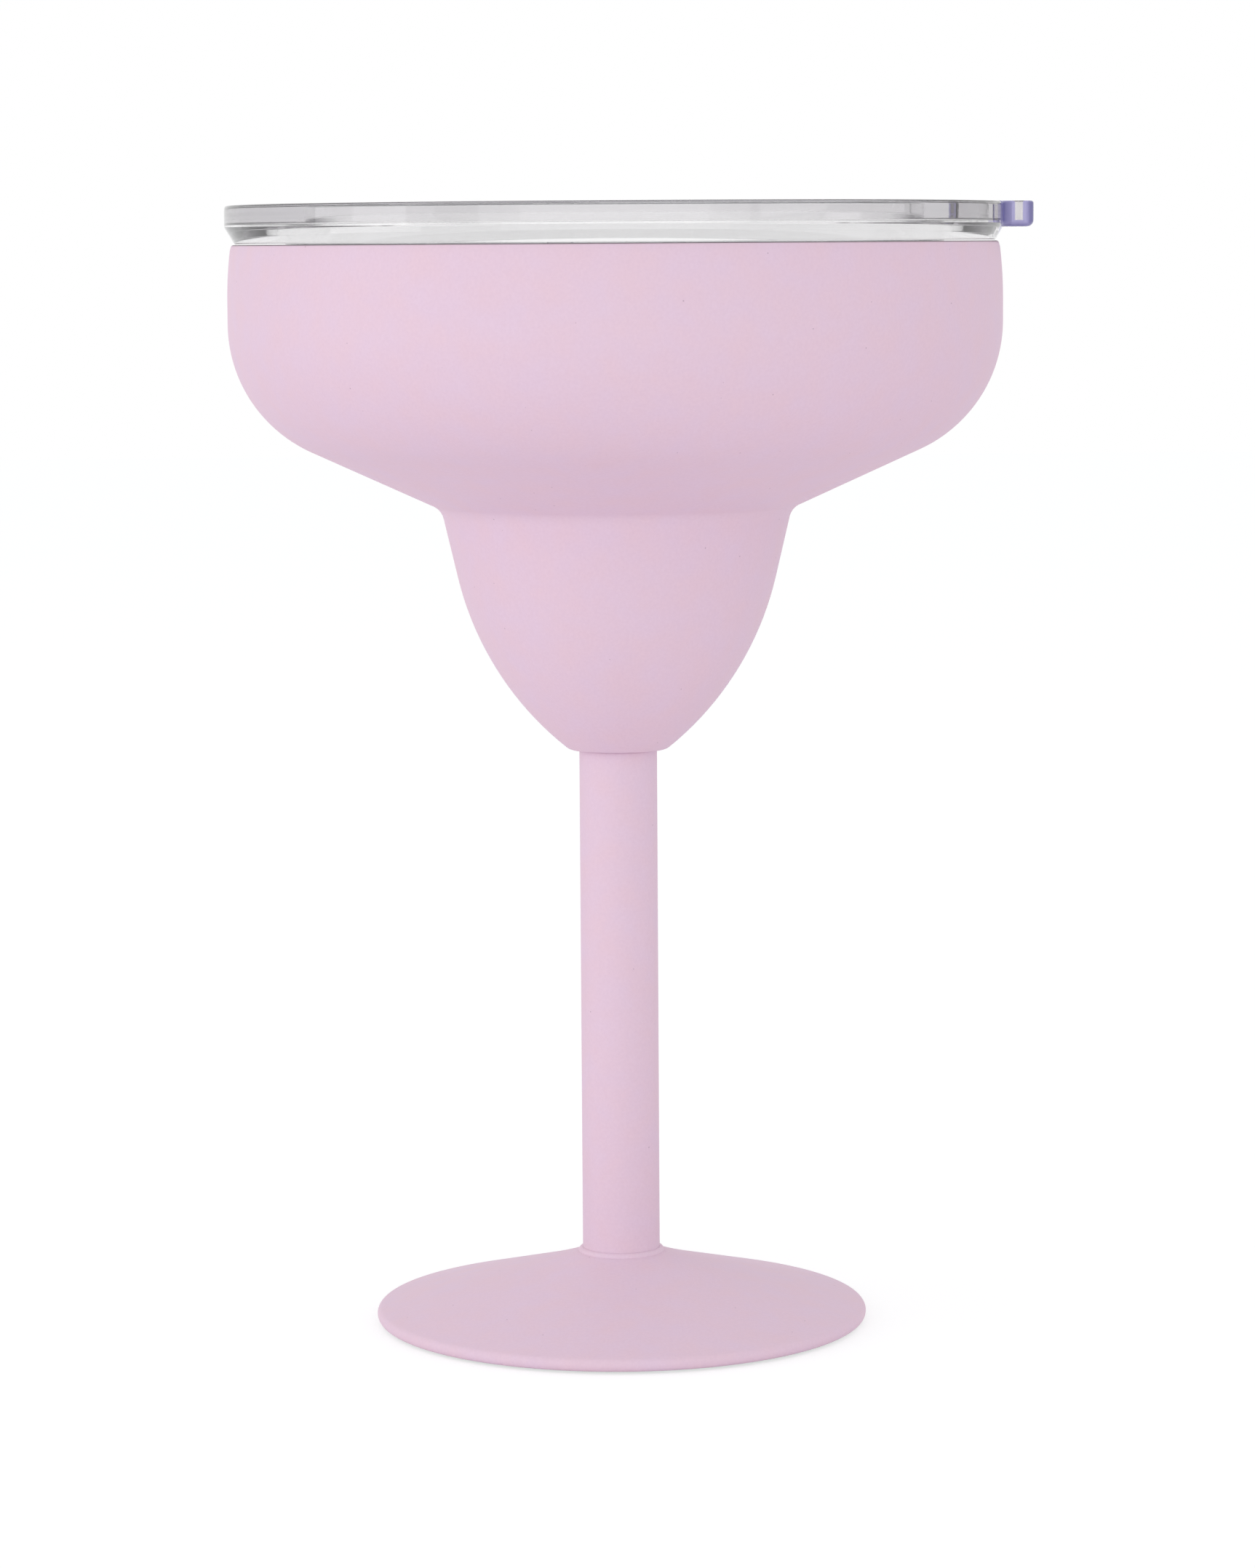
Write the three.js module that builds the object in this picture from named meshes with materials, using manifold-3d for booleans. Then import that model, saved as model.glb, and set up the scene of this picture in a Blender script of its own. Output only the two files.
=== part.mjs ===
// Double-wall cocktail glass on a stem, with a clear press-in lid.
// Millimetres and degrees, +Z up. The origin is the centre of the foot's underside,
// and the lid's lift tab points along +X.

import * as THREE from 'three';
import { mergeVertices } from 'three/addons/utils/BufferGeometryUtils.js';
import Module from 'manifold-3d';

// Foot
const FOOT_DIAMETER = 76.4;
const FOOT_SHEET = 1.05;
const FOOT_HEIGHT = 11.3;
const FOOT_SLOPE = 14.4;
const FOOT_FLARE_WIDTH = 12;
const FOOT_LIP_WIDTH = 4;
const PAD_THICKNESS = 1;
const PAD_PROUD = 0.3;
const PLATE_SHEET = 1;
const PLATE_RIM_WIDTH = 3;
const WELD_BEAD_SIZE = 0.55;

// Stem
const STEM_DIAMETER = 12;
const STEM_WALL = 1.2;
const STEM_LENGTH = 78.35;
const STUD_DIAMETER = 6;
const STUD_LENGTH = 14;
const STUD_FLANGE_THICKNESS = 1;
const STUD_FLANGE_WIDTH = 1.4;
const NUT_LENGTH = 11;

// Bowl, measured on the outside of its outer wall
const BOWL_DIAMETER = 118.2;
const BOWL_HEIGHT = 40.5;
const SHOULDER_ANGLE = 24.6;
const SHOULDER_CORNER_RADIUS = 21.2;
const NECK_DIAMETER = 53.8;
const NECK_FILLET = 3;
const CUP_HEIGHT = 37.15;
const CUP_TAPER = 13.1;
const CUP_ARC_RADIUS = 47.9;
const CUP_BASE_DIAMETER = 15.2;
const CUP_BASE_CORNER = 1.4;
const RIM_TUCK = 0.6;
const RIM_TUCK_HEIGHT = 8.8;
const RIM_CORNER = 0.5;

// Walls of the bowl
const OUTER_WALL = 0.8;
const VACUUM_GAP = 2.4;
const LINER_WALL = 0.8;
const BASE_VACUUM_GAP = 5;
const LINER_BASE_CORNER = 5;
const LIP_FLARE_HEIGHT = 4.6;
const VACUUM_HOLE_DIAMETER = 3;
const VACUUM_PLUG_HEAD = 1.2;
const GETTER_DIAMETER = 9;
const GETTER_THICKNESS = 2.4;

// Lid
const LID_OVERHANG = 0.9;
const LID_RIM_GAP = 0.15;
const FLANGE_HEIGHT = 5.8;
const FLANGE_WALL = 2.2;
const FLANGE_TAPER_HEIGHT = 2.5;
const FLANGE_TAPER_DEPTH = 1.5;
const FLANGE_TOP_CORNER = 0.6;
const LID_TOP_THICKNESS = 2.8;
const DISH_DEPTH = 11.85;
const DISH_DRAFT = 0.4;
const DISH_WALL = 2.9;
const DISH_FILLET = 1.5;
const LID_FLOOR_THICKNESS = 2.2;
const PLUG_DROP = 1.1;
const PLUG_FLANGE_WIDTH = 3.4;
const PLUG_FLANGE_THICKNESS = 1.35;
const GASKET_HEIGHT = 3.2;
const GASKET_BODY_WIDTH = 2.4;
const GASKET_FIN_THICKNESS = 0.7;
const TAB_REACH = 3.8;
const TAB_WIDTH = 20;
const TAB_HEIGHT = 3.9;
const TAB_ROOT_FILLET = 2.2;
const TAB_CORNER = 1.9;
const TAB_EDGE_BEVEL = 0.4;
const VENT_DIAMETER = 3;

// Sip opening and its slider
const SIP_LENGTH = 7;
const SIP_WIDTH = 14;
const SIP_CORNER = 2.9;
const SIP_EDGE_DISTANCE = 3.4;
const SLIDER_TRAVEL = 9.8;
const SLIDER_WIDTH = 18;
const SLIDER_LENGTH = 33;
const SLIDER_THICKNESS = 1.8;
const SLIDER_GRIP_HEIGHT = 4.5;
const SLIDER_GRIP_LENGTH = 4;
const SLIDER_GRIP_SETBACK = 4;
const SLIDER_NECK_LENGTH = 8;
const SLIDER_NECK_WIDTH = 4.4;
const SIP_TO_SLOT = 5.4;
const KEEPER_LENGTH = 14;
const KEEPER_WIDTH = 9;
const KEEPER_THICKNESS = 1.6;

// Clearances between pieces that seat, slide or are welded together
const WELD_CLEARANCE = 0.15;
const STEM_JOINT_GAP = 0.15;
const SEAT_CLEARANCE = 0.15;
const SLIDE_CLEARANCE = 0.3;
const GASKET_CLEARANCE = 0.25;
const PLUG_CLEARANCE = 1.5;

// Fineness of the round forms, coarser on the surfaces hidden between the walls
const ROUND_STEPS = 40;
const SMALL_ROUND_STEPS = 16;
const ARC_STEP = 9;
const HIDDEN_ARC_STEP = 18;
const EDGE_ARC_STEP = 30;
const TUCK_STEPS = 4;
const LIP_STEPS = 5;
const FLARE_STEPS = 6;
const PLAN_CORNER_STEPS = 2;
const MERGE_DISTANCE = 1e-4;

const COAT_PINK = 0xe3c9da;
const STEEL_GREY = 0xc8c9cb;
const GETTER_GREY = 0x8e8f93;
const PAD_GREY = 0xb9b4b8;
const CLEAR_PLASTIC = 0xeceaf1;
const CLEAR_SILICONE = 0xe4e2e6;

const wasm = await Module();
wasm.setup();

const point = (x, y) => new THREE.Vector2(x, y);
const radians = THREE.MathUtils.degToRad;
const degrees = THREE.MathUtils.radToDeg;

// Points along an arc, both ends included
function arc(centre, radius, fromDegrees, toDegrees, stepDegrees = ARC_STEP) {
  const steps = Math.max(1, Math.round(Math.abs(toDegrees - fromDegrees) / stepDegrees));
  return Array.from({ length: steps + 1 }, (_, index) => {
    const angle = radians(fromDegrees + (toDegrees - fromDegrees) * index / steps);
    return point(centre.x + radius * Math.cos(angle), centre.y + radius * Math.sin(angle));
  });
}

// A turned solid from an outline of (radius, height) that starts and ends on the axis
function turned(outline, steps = ROUND_STEPS) {
  const geometry = new THREE.LatheGeometry(outline, steps);
  geometry.rotateX(Math.PI / 2);
  return geometry;
}

// A turned ring from an outline of (radius, height) that goes round clear of the axis
function turnedRing(outline, steps = ROUND_STEPS) {
  return turned([...outline, outline[0]], steps);
}

// An upright prism on a plan shape
function prism(shape, bottom, height, bevel = 0) {
  const geometry = new THREE.ExtrudeGeometry(shape, {
    depth: height - 2 * bevel,
    curveSegments: PLAN_CORNER_STEPS,
    bevelEnabled: bevel > 0,
    bevelSize: bevel,
    bevelThickness: bevel,
    bevelOffset: -bevel,
    bevelSegments: PLAN_CORNER_STEPS,
  });
  geometry.translate(0, 0, bottom + bevel);
  return geometry;
}

// A plan rectangle with round corners
function roundedRectangle(centreX, length, width, corner) {
  const shape = new THREE.Shape();
  const right = centreX + length / 2 - corner;
  const left = centreX - length / 2 + corner;
  const side = width / 2 - corner;
  shape.absarc(right, side, corner, 0, Math.PI / 2);
  shape.absarc(left, side, corner, Math.PI / 2, Math.PI);
  shape.absarc(left, -side, corner, Math.PI, 1.5 * Math.PI);
  shape.absarc(right, -side, corner, 1.5 * Math.PI, 2 * Math.PI);
  return shape;
}

function toSolid(geometry) {
  const bare = geometry.clone();
  bare.deleteAttribute('normal');
  bare.deleteAttribute('uv');
  const merged = mergeVertices(bare, MERGE_DISTANCE);
  const corners = Array.from(merged.index.array);
  const kept = [];
  for (let start = 0; start < corners.length; start += 3) {
    const [a, b, c] = corners.slice(start, start + 3);
    if (a !== b && b !== c && c !== a) kept.push(a, b, c);
  }
  return new wasm.Manifold(new wasm.Mesh({
    numProp: 3,
    vertProperties: new Float32Array(merged.attributes.position.array),
    triVerts: new Uint32Array(kept),
  }));
}

function toGeometry(solid) {
  const mesh = solid.getMesh();
  const geometry = new THREE.BufferGeometry();
  geometry.setAttribute('position', new THREE.BufferAttribute(new Float32Array(mesh.vertProperties), 3));
  geometry.setIndex(new THREE.BufferAttribute(new Uint32Array(mesh.triVerts), 1));
  geometry.computeVertexNormals();
  return geometry;
}

// Heights and radii that several pieces share
const stemRadius = STEM_DIAMETER / 2;
const footRadius = FOOT_DIAMETER / 2;
const plateTop = PAD_THICKNESS + SEAT_CLEARANCE + PLATE_SHEET;
const bowlBase = FOOT_HEIGHT + STEM_LENGTH;
const neckHeight = bowlBase + CUP_HEIGHT;
const rimHeight = neckHeight + BOWL_HEIGHT;
const bowlRadius = BOWL_DIAMETER / 2;
const linerOutset = OUTER_WALL + VACUUM_GAP;
const linerInset = linerOutset + LINER_WALL;
const linerRadius = bowlRadius - linerInset;
const stemTop = bowlBase - STEM_JOINT_GAP;

// Centres of the arcs of the bowl's wall. Every wall surface is a parallel curve of the outside,
// so all of them share these centres and only the radii change.
const cupNormal = point(Math.cos(radians(CUP_TAPER)), -Math.sin(radians(CUP_TAPER)));
const shoulderNormal = point(Math.sin(radians(SHOULDER_ANGLE)), -Math.cos(radians(SHOULDER_ANGLE)));
const neckCorner = point(NECK_DIAMETER / 2, neckHeight);

const neckCentre = neckCorner.clone().addScaledVector(
  cupNormal.clone().add(shoulderNormal),
  NECK_FILLET / (1 + cupNormal.dot(shoulderNormal)),
);

const shoulderCentreRadius = bowlRadius - SHOULDER_CORNER_RADIUS;
const shoulderCentre = point(
  shoulderCentreRadius,
  neckCorner.y - (SHOULDER_CORNER_RADIUS + (shoulderCentreRadius - neckCorner.x) * shoulderNormal.x)
    / shoulderNormal.y,
);

// The cup's arc is tangent to its tapered side and runs through the corner of its base
function findCupCentre() {
  const baseCorner = point(CUP_BASE_DIAMETER / 2, bowlBase);
  const downSide = point(-Math.sin(radians(CUP_TAPER)), -Math.cos(radians(CUP_TAPER)));
  const start = neckCorner.clone().addScaledVector(cupNormal, -CUP_ARC_RADIUS);
  const reach = start.clone().sub(baseCorner);
  const across = reach.dot(cupNormal);
  const along = -reach.dot(downSide) - Math.sqrt(CUP_ARC_RADIUS ** 2 - across ** 2);
  return start.addScaledVector(downSide, along);
}
const cupCentre = findCupCentre();

// One surface of the bowl from the axis at its floor up to where the wall stands upright
function bowlOutline(inset, floorHeight, floorCorner, arcStep) {
  const cupRadius = CUP_ARC_RADIUS - inset;
  const rise = floorHeight + floorCorner - cupCentre.y;
  const cornerRadius = cupCentre.x + Math.sqrt((cupRadius - floorCorner) ** 2 - rise ** 2);
  const cornerCentre = point(cornerRadius, floorHeight + floorCorner);
  const cupStart = degrees(Math.atan2(rise, cornerRadius - cupCentre.x));
  return [
    point(0, floorHeight),
    ...arc(cornerCentre, floorCorner, -90, cupStart, 2 * arcStep),
    ...arc(cupCentre, cupRadius, cupStart, -CUP_TAPER, arcStep).slice(1),
    ...arc(neckCentre, NECK_FILLET + inset, 180 - CUP_TAPER, 90 + SHOULDER_ANGLE, 2 * arcStep),
    ...arc(shoulderCentre, SHOULDER_CORNER_RADIUS - inset, SHOULDER_ANGLE - 90, 0, arcStep),
  ];
}

// The wall above the shoulder: upright, then tucked in a little towards the rim
const tuckStart = rimHeight - RIM_TUCK_HEIGHT;
const tuckRadius = (RIM_TUCK_HEIGHT ** 2 + RIM_TUCK ** 2) / (2 * RIM_TUCK);
const tuckAngle = degrees(Math.asin(RIM_TUCK_HEIGHT / tuckRadius));

function rimTuck(inset, steps) {
  const centre = point(bowlRadius - tuckRadius, tuckStart);
  return arc(centre, tuckRadius - inset, 0, tuckAngle, tuckAngle / steps);
}

const rimRadius = bowlRadius - RIM_TUCK;
const rimInnerRadius = rimRadius - OUTER_WALL;

function outerBowl() {
  const outside = [
    ...bowlOutline(0, bowlBase, CUP_BASE_CORNER, ARC_STEP),
    ...rimTuck(0, TUCK_STEPS).slice(0, -1),
    ...arc(point(rimRadius - RIM_CORNER, rimHeight - RIM_CORNER), RIM_CORNER, 0, 90, EDGE_ARC_STEP),
    point(rimInnerRadius, rimHeight),
  ];
  const inside = [
    ...bowlOutline(OUTER_WALL, bowlBase + OUTER_WALL, CUP_BASE_CORNER, HIDDEN_ARC_STEP),
    ...rimTuck(OUTER_WALL, TUCK_STEPS / 2).slice(0, -1),
  ];
  const holeRadius = VACUUM_HOLE_DIAMETER / 2;
  outside[0].x = holeRadius;
  inside[0].x = holeRadius;
  return turnedRing([...outside, ...inside.reverse()]);
}

// The liner's wall stands upright and flares at the lip to meet the outer wall
function linerLip(radiusBelow, radiusAtRim, steps) {
  const start = rimHeight - LIP_FLARE_HEIGHT;
  const curve = new THREE.CubicBezierCurve(
    point(radiusBelow, start),
    point(radiusBelow, start + LIP_FLARE_HEIGHT / 2),
    point(radiusAtRim, start + LIP_FLARE_HEIGHT / 4),
    point(radiusAtRim, rimHeight - RIM_CORNER),
  );
  return curve.getPoints(steps);
}

const linerFloorUnder = bowlBase + OUTER_WALL + BASE_VACUUM_GAP;
const linerFloor = linerFloorUnder + LINER_WALL;
const lipOuterRadius = rimInnerRadius - WELD_CLEARANCE;
const lipInnerRadius = lipOuterRadius - LINER_WALL;

function innerLiner() {
  const lipCorner = point(lipInnerRadius + RIM_CORNER, rimHeight - RIM_CORNER);
  const outside = [
    ...bowlOutline(linerOutset, linerFloorUnder, LINER_BASE_CORNER + LINER_WALL, HIDDEN_ARC_STEP),
    ...linerLip(bowlRadius - linerOutset, lipOuterRadius, LIP_STEPS),
    point(lipOuterRadius, rimHeight),
  ];
  const inside = [
    ...bowlOutline(linerInset, linerFloor, LINER_BASE_CORNER, ARC_STEP),
    ...linerLip(linerRadius, lipInnerRadius, LIP_STEPS),
    ...arc(lipCorner, RIM_CORNER, 180, 90, EDGE_ARC_STEP).slice(1),
  ];
  return turned([...outside, ...inside.reverse()]);
}

// Headed plug that closes the evacuation hole from inside the vacuum space
function vacuumPlug() {
  const shankRadius = VACUUM_HOLE_DIAMETER / 2 - WELD_CLEARANCE;
  const headRadius = VACUUM_HOLE_DIAMETER;
  const seat = bowlBase + OUTER_WALL + WELD_CLEARANCE;
  return turned([
    point(0, bowlBase),
    point(shankRadius, bowlBase),
    point(shankRadius, seat),
    point(headRadius, seat),
    point(headRadius, seat + VACUUM_PLUG_HEAD / 2),
    point(headRadius / 2, seat + VACUUM_PLUG_HEAD),
    point(0, seat + VACUUM_PLUG_HEAD),
  ], SMALL_ROUND_STEPS);
}

// Shallow capsule fixed under the liner's floor
function getterCapsule() {
  const radius = GETTER_DIAMETER / 2;
  const top = linerFloorUnder - SEAT_CLEARANCE;
  const bottom = top - GETTER_THICKNESS;
  const bevel = GETTER_THICKNESS / 4;
  return turned([
    point(0, bottom),
    point(radius - bevel, bottom),
    point(radius, bottom + bevel),
    point(radius, top),
    point(0, top),
  ], SMALL_ROUND_STEPS);
}

// Stud with a weld flange under the bowl, hidden in the stem's top end
const studRadius = STUD_DIAMETER / 2;
const studFlangeUnder = bowlBase - WELD_CLEARANCE - STUD_FLANGE_THICKNESS;

function bowlStud() {
  const flangeRadius = studRadius + STUD_FLANGE_WIDTH;
  const tip = studFlangeUnder - STUD_LENGTH;
  const bevel = studRadius / 4;
  return turned([
    point(0, tip),
    point(studRadius - bevel, tip),
    point(studRadius, tip + bevel),
    point(studRadius, studFlangeUnder),
    point(flangeRadius, studFlangeUnder),
    point(flangeRadius, bowlBase - WELD_CLEARANCE),
    point(0, bowlBase - WELD_CLEARANCE),
  ], SMALL_ROUND_STEPS);
}

const stemBoreRadius = stemRadius - STEM_WALL;

function stemNut() {
  const top = studFlangeUnder - SEAT_CLEARANCE;
  const bottom = top - NUT_LENGTH;
  const outer = stemBoreRadius - WELD_CLEARANCE;
  const bore = studRadius + SEAT_CLEARANCE;
  return turnedRing([
    point(bore, bottom),
    point(outer, bottom),
    point(outer, top),
    point(bore, top),
  ], SMALL_ROUND_STEPS);
}

function stemTube() {
  return turnedRing([
    point(stemBoreRadius, plateTop),
    point(stemRadius, plateTop),
    point(stemRadius, stemTop),
    point(stemBoreRadius, stemTop),
  ]);
}

// Foot: a sheet hemmed at its edge, rising as a flat cone and flaring up to the stem
const hemRadius = FOOT_SHEET;
const hemCentre = point(footRadius - hemRadius, PAD_PROUD + hemRadius);
const collarRadius = stemRadius + WELD_CLEARANCE;
const collarTopRadius = collarRadius + WELD_BEAD_SIZE;
const collarTop = FOOT_HEIGHT - WELD_BEAD_SIZE;
const footLipRadius = footRadius - hemRadius - FOOT_LIP_WIDTH;

function coneHeight(radius) {
  const slope = radians(FOOT_SLOPE);
  const startRadius = hemCentre.x + hemRadius * Math.sin(slope);
  const startHeight = hemCentre.y + hemRadius * Math.cos(slope);
  return startHeight + (startRadius - radius) * Math.tan(slope);
}

function footShell() {
  const flareStart = collarTopRadius + FOOT_FLARE_WIDTH;
  const flareBend = collarTopRadius + FOOT_FLARE_WIDTH / 3;
  const flare = new THREE.QuadraticBezierCurve(
    point(flareStart, coneHeight(flareStart)),
    point(flareBend, coneHeight(flareBend)),
    point(collarTopRadius, collarTop),
  );
  const sheetDrop = FOOT_SHEET / Math.cos(radians(FOOT_SLOPE));
  const lipTop = PAD_PROUD + FOOT_SHEET;
  const under = (radius) => coneHeight(radius) - sheetDrop;
  const hemInside = hemCentre.x - (lipTop - under(hemCentre.x)) / Math.tan(radians(FOOT_SLOPE));
  return turnedRing([
    point(collarRadius, under(flareBend)),
    point(flareBend, under(flareBend)),
    point(flareStart, under(flareStart)),
    point(hemInside - SEAT_CLEARANCE, under(hemInside - SEAT_CLEARANCE)),
    point(hemInside - SEAT_CLEARANCE, lipTop),
    point(footLipRadius, lipTop),
    point(footLipRadius, PAD_PROUD),
    ...arc(hemCentre, hemRadius, -90, 90 - FOOT_SLOPE, EDGE_ARC_STEP),
    ...flare.getPoints(FLARE_STEPS),
    point(collarRadius, collarTop),
  ]);
}

function stemWeldBead() {
  const inner = stemRadius + WELD_CLEARANCE / 2;
  return turnedRing([
    point(inner, collarTop),
    point(collarTopRadius, collarTop),
    ...arc(point(inner, collarTop), collarTopRadius - inner, EDGE_ARC_STEP, 90, EDGE_ARC_STEP),
  ]);
}

// Plate pressed into the foot's lip, raised in the middle to take the pad
function basePlate() {
  const outer = footLipRadius - SEAT_CLEARANCE;
  const recess = outer - PLATE_RIM_WIDTH;
  const stepOutside = recess + PLATE_SHEET;
  const recessTop = PAD_THICKNESS + SEAT_CLEARANCE;
  return turned([
    point(0, recessTop),
    point(recess, recessTop),
    point(recess, PAD_PROUD),
    point(outer, PAD_PROUD),
    point(outer, PAD_PROUD + PLATE_SHEET),
    point(stepOutside, PAD_PROUD + PLATE_SHEET),
    point(stepOutside, plateTop),
    point(0, plateTop),
  ]);
}

function footPad() {
  const radius = footLipRadius - PLATE_RIM_WIDTH - 2 * SEAT_CLEARANCE;
  const bevel = PAD_PROUD;
  return turned([
    point(0, 0),
    point(radius - bevel, 0),
    point(radius, bevel),
    point(radius, PAD_THICKNESS),
    point(0, PAD_THICKNESS),
  ]);
}

// Lid heights and radii
const lidRadius = rimRadius + LID_OVERHANG;
const flangeBottom = rimHeight + LID_RIM_GAP;
const lidTop = flangeBottom + FLANGE_HEIGHT;
const plugFlangeRadius = linerRadius - PLUG_CLEARANCE;
const plugRadius = plugFlangeRadius - PLUG_FLANGE_WIDTH;
const dishRadius = plugRadius - DISH_WALL;
const dishFloor = lidTop - DISH_DEPTH;
const dishFloorRadius = dishRadius - DISH_DRAFT;
const lidUnder = dishFloor - LID_FLOOR_THICKNESS;
const plugBottom = lidUnder - PLUG_DROP;
const grooveBottom = plugBottom + PLUG_FLANGE_THICKNESS;
const grooveTop = grooveBottom + GASKET_HEIGHT + 2 * SEAT_CLEARANCE;

// Turned form of the lid: dish, plug with its gasket groove, and the hollow flange over the rim
function lidTurning() {
  const flangeInside = lidRadius - FLANGE_WALL;
  const channelTop = lidTop - LID_TOP_THICKNESS;
  const flangeCorner = point(lidRadius - FLANGE_TOP_CORNER, lidTop - FLANGE_TOP_CORNER);
  const dishCorner = point(dishRadius + FLANGE_TOP_CORNER, lidTop - FLANGE_TOP_CORNER);
  const dishFilletCentre = point(dishFloorRadius - DISH_FILLET, dishFloor + DISH_FILLET);
  return turned([
    point(0, lidUnder),
    point(dishRadius, lidUnder),
    point(dishRadius, plugBottom),
    point(plugFlangeRadius, plugBottom),
    point(plugFlangeRadius, grooveBottom),
    point(plugRadius, grooveBottom),
    point(plugRadius, grooveTop),
    point(plugFlangeRadius, grooveTop),
    point(plugFlangeRadius, grooveTop + PLUG_FLANGE_THICKNESS),
    point(plugRadius, grooveTop + PLUG_FLANGE_THICKNESS),
    point(plugRadius, channelTop),
    point(flangeInside, channelTop),
    point(flangeInside, flangeBottom),
    point(lidRadius - FLANGE_TAPER_DEPTH, flangeBottom),
    point(lidRadius, flangeBottom + FLANGE_TAPER_HEIGHT),
    ...arc(flangeCorner, FLANGE_TOP_CORNER, 0, 90, EDGE_ARC_STEP),
    ...arc(dishCorner, FLANGE_TOP_CORNER, 90, 180, EDGE_ARC_STEP),
    ...arc(dishFilletCentre, DISH_FILLET, 0, -90, EDGE_ARC_STEP),
    point(0, dishFloor),
  ]);
}

// Plan of the lift tab: hollow fillets at the flange, straight sides and rounded outer corners
function tabPlan() {
  const side = TAB_WIDTH / 2;
  const end = lidRadius + TAB_REACH;
  const rootInside = lidRadius - FLANGE_WALL / 2;
  const filletX = Math.sqrt((lidRadius + TAB_ROOT_FILLET) ** 2 - (side + TAB_ROOT_FILLET) ** 2);
  const filletTurn = Math.atan2(side + TAB_ROOT_FILLET, filletX);
  const shape = new THREE.Shape();
  shape.moveTo(rootInside * Math.cos(filletTurn), -rootInside * Math.sin(filletTurn));
  shape.absarc(filletX, -side - TAB_ROOT_FILLET, TAB_ROOT_FILLET, Math.PI - filletTurn, Math.PI / 2, true);
  shape.absarc(end - TAB_CORNER, -side + TAB_CORNER, TAB_CORNER, -Math.PI / 2, 0);
  shape.absarc(end - TAB_CORNER, side - TAB_CORNER, TAB_CORNER, 0, Math.PI / 2);
  shape.absarc(filletX, side + TAB_ROOT_FILLET, TAB_ROOT_FILLET, -Math.PI / 2, filletTurn - Math.PI, true);
  shape.absarc(0, 0, rootInside, filletTurn, -filletTurn, true);
  return shape;
}

// The sip opening lies across -X, near the dish wall, and the slider runs along X
const sipOuterEdge = dishFloorRadius - SIP_EDGE_DISTANCE;
const sipCentreX = -(sipOuterEdge - SIP_LENGTH / 2);
const sipInnerEdge = sipOuterEdge - SIP_LENGTH;
const slotOuterEnd = sipInnerEdge - SIP_TO_SLOT;
const slotLength = SLIDER_NECK_LENGTH + SLIDER_TRAVEL + 2 * SLIDE_CLEARANCE;
const slotWidth = SLIDER_NECK_WIDTH + 2 * SLIDE_CLEARANCE;
const slotCentreX = -(slotOuterEnd - slotLength / 2);
const keeperBottom = lidUnder - SLIDE_CLEARANCE - KEEPER_THICKNESS;
const neckRestX = -(slotOuterEnd - SLIDE_CLEARANCE - SLIDER_TRAVEL - SLIDER_NECK_LENGTH / 2);

// A cutter right through the lid's floor
function floorCutter(plan) {
  return toSolid(prism(plan, lidUnder - SLIDE_CLEARANCE, LID_FLOOR_THICKNESS + 2 * SLIDE_CLEARANCE));
}

function lidBody() {
  const ventPlan = new THREE.Shape();
  ventPlan.absarc(-sipCentreX, 0, VENT_DIAMETER / 2, 0, 2 * Math.PI);
  const tab = prism(tabPlan(), lidTop - TAB_HEIGHT, TAB_HEIGHT, TAB_EDGE_BEVEL);
  const solid = toSolid(lidTurning())
    .add(toSolid(tab))
    .subtract(floorCutter(roundedRectangle(sipCentreX, SIP_LENGTH, SIP_WIDTH, SIP_CORNER)))
    .subtract(floorCutter(roundedRectangle(slotCentreX, slotLength, slotWidth, slotWidth / 4)))
    .subtract(floorCutter(ventPlan));
  return toGeometry(solid);
}

// Soft ring in the plug's groove, with two fins that reach to the liner
function lidGasket() {
  const bottom = grooveBottom + SEAT_CLEARANCE;
  const inner = plugRadius + GASKET_CLEARANCE;
  const body = inner + GASKET_BODY_WIDTH;
  const finReach = linerRadius - GASKET_CLEARANCE;
  const fin = (height) => [
    point(body, height - GASKET_FIN_THICKNESS / 2),
    point(finReach, height),
    point(finReach, height + GASKET_FIN_THICKNESS / 2),
    point(body, height + GASKET_FIN_THICKNESS / 2),
  ];
  return turnedRing([
    point(inner, bottom),
    point(body, bottom),
    ...fin(bottom + GASKET_HEIGHT / 4),
    ...fin(bottom + GASKET_HEIGHT * 3 / 4),
    point(body, bottom + GASKET_HEIGHT),
    point(inner, bottom + GASKET_HEIGHT),
  ]);
}

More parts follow.
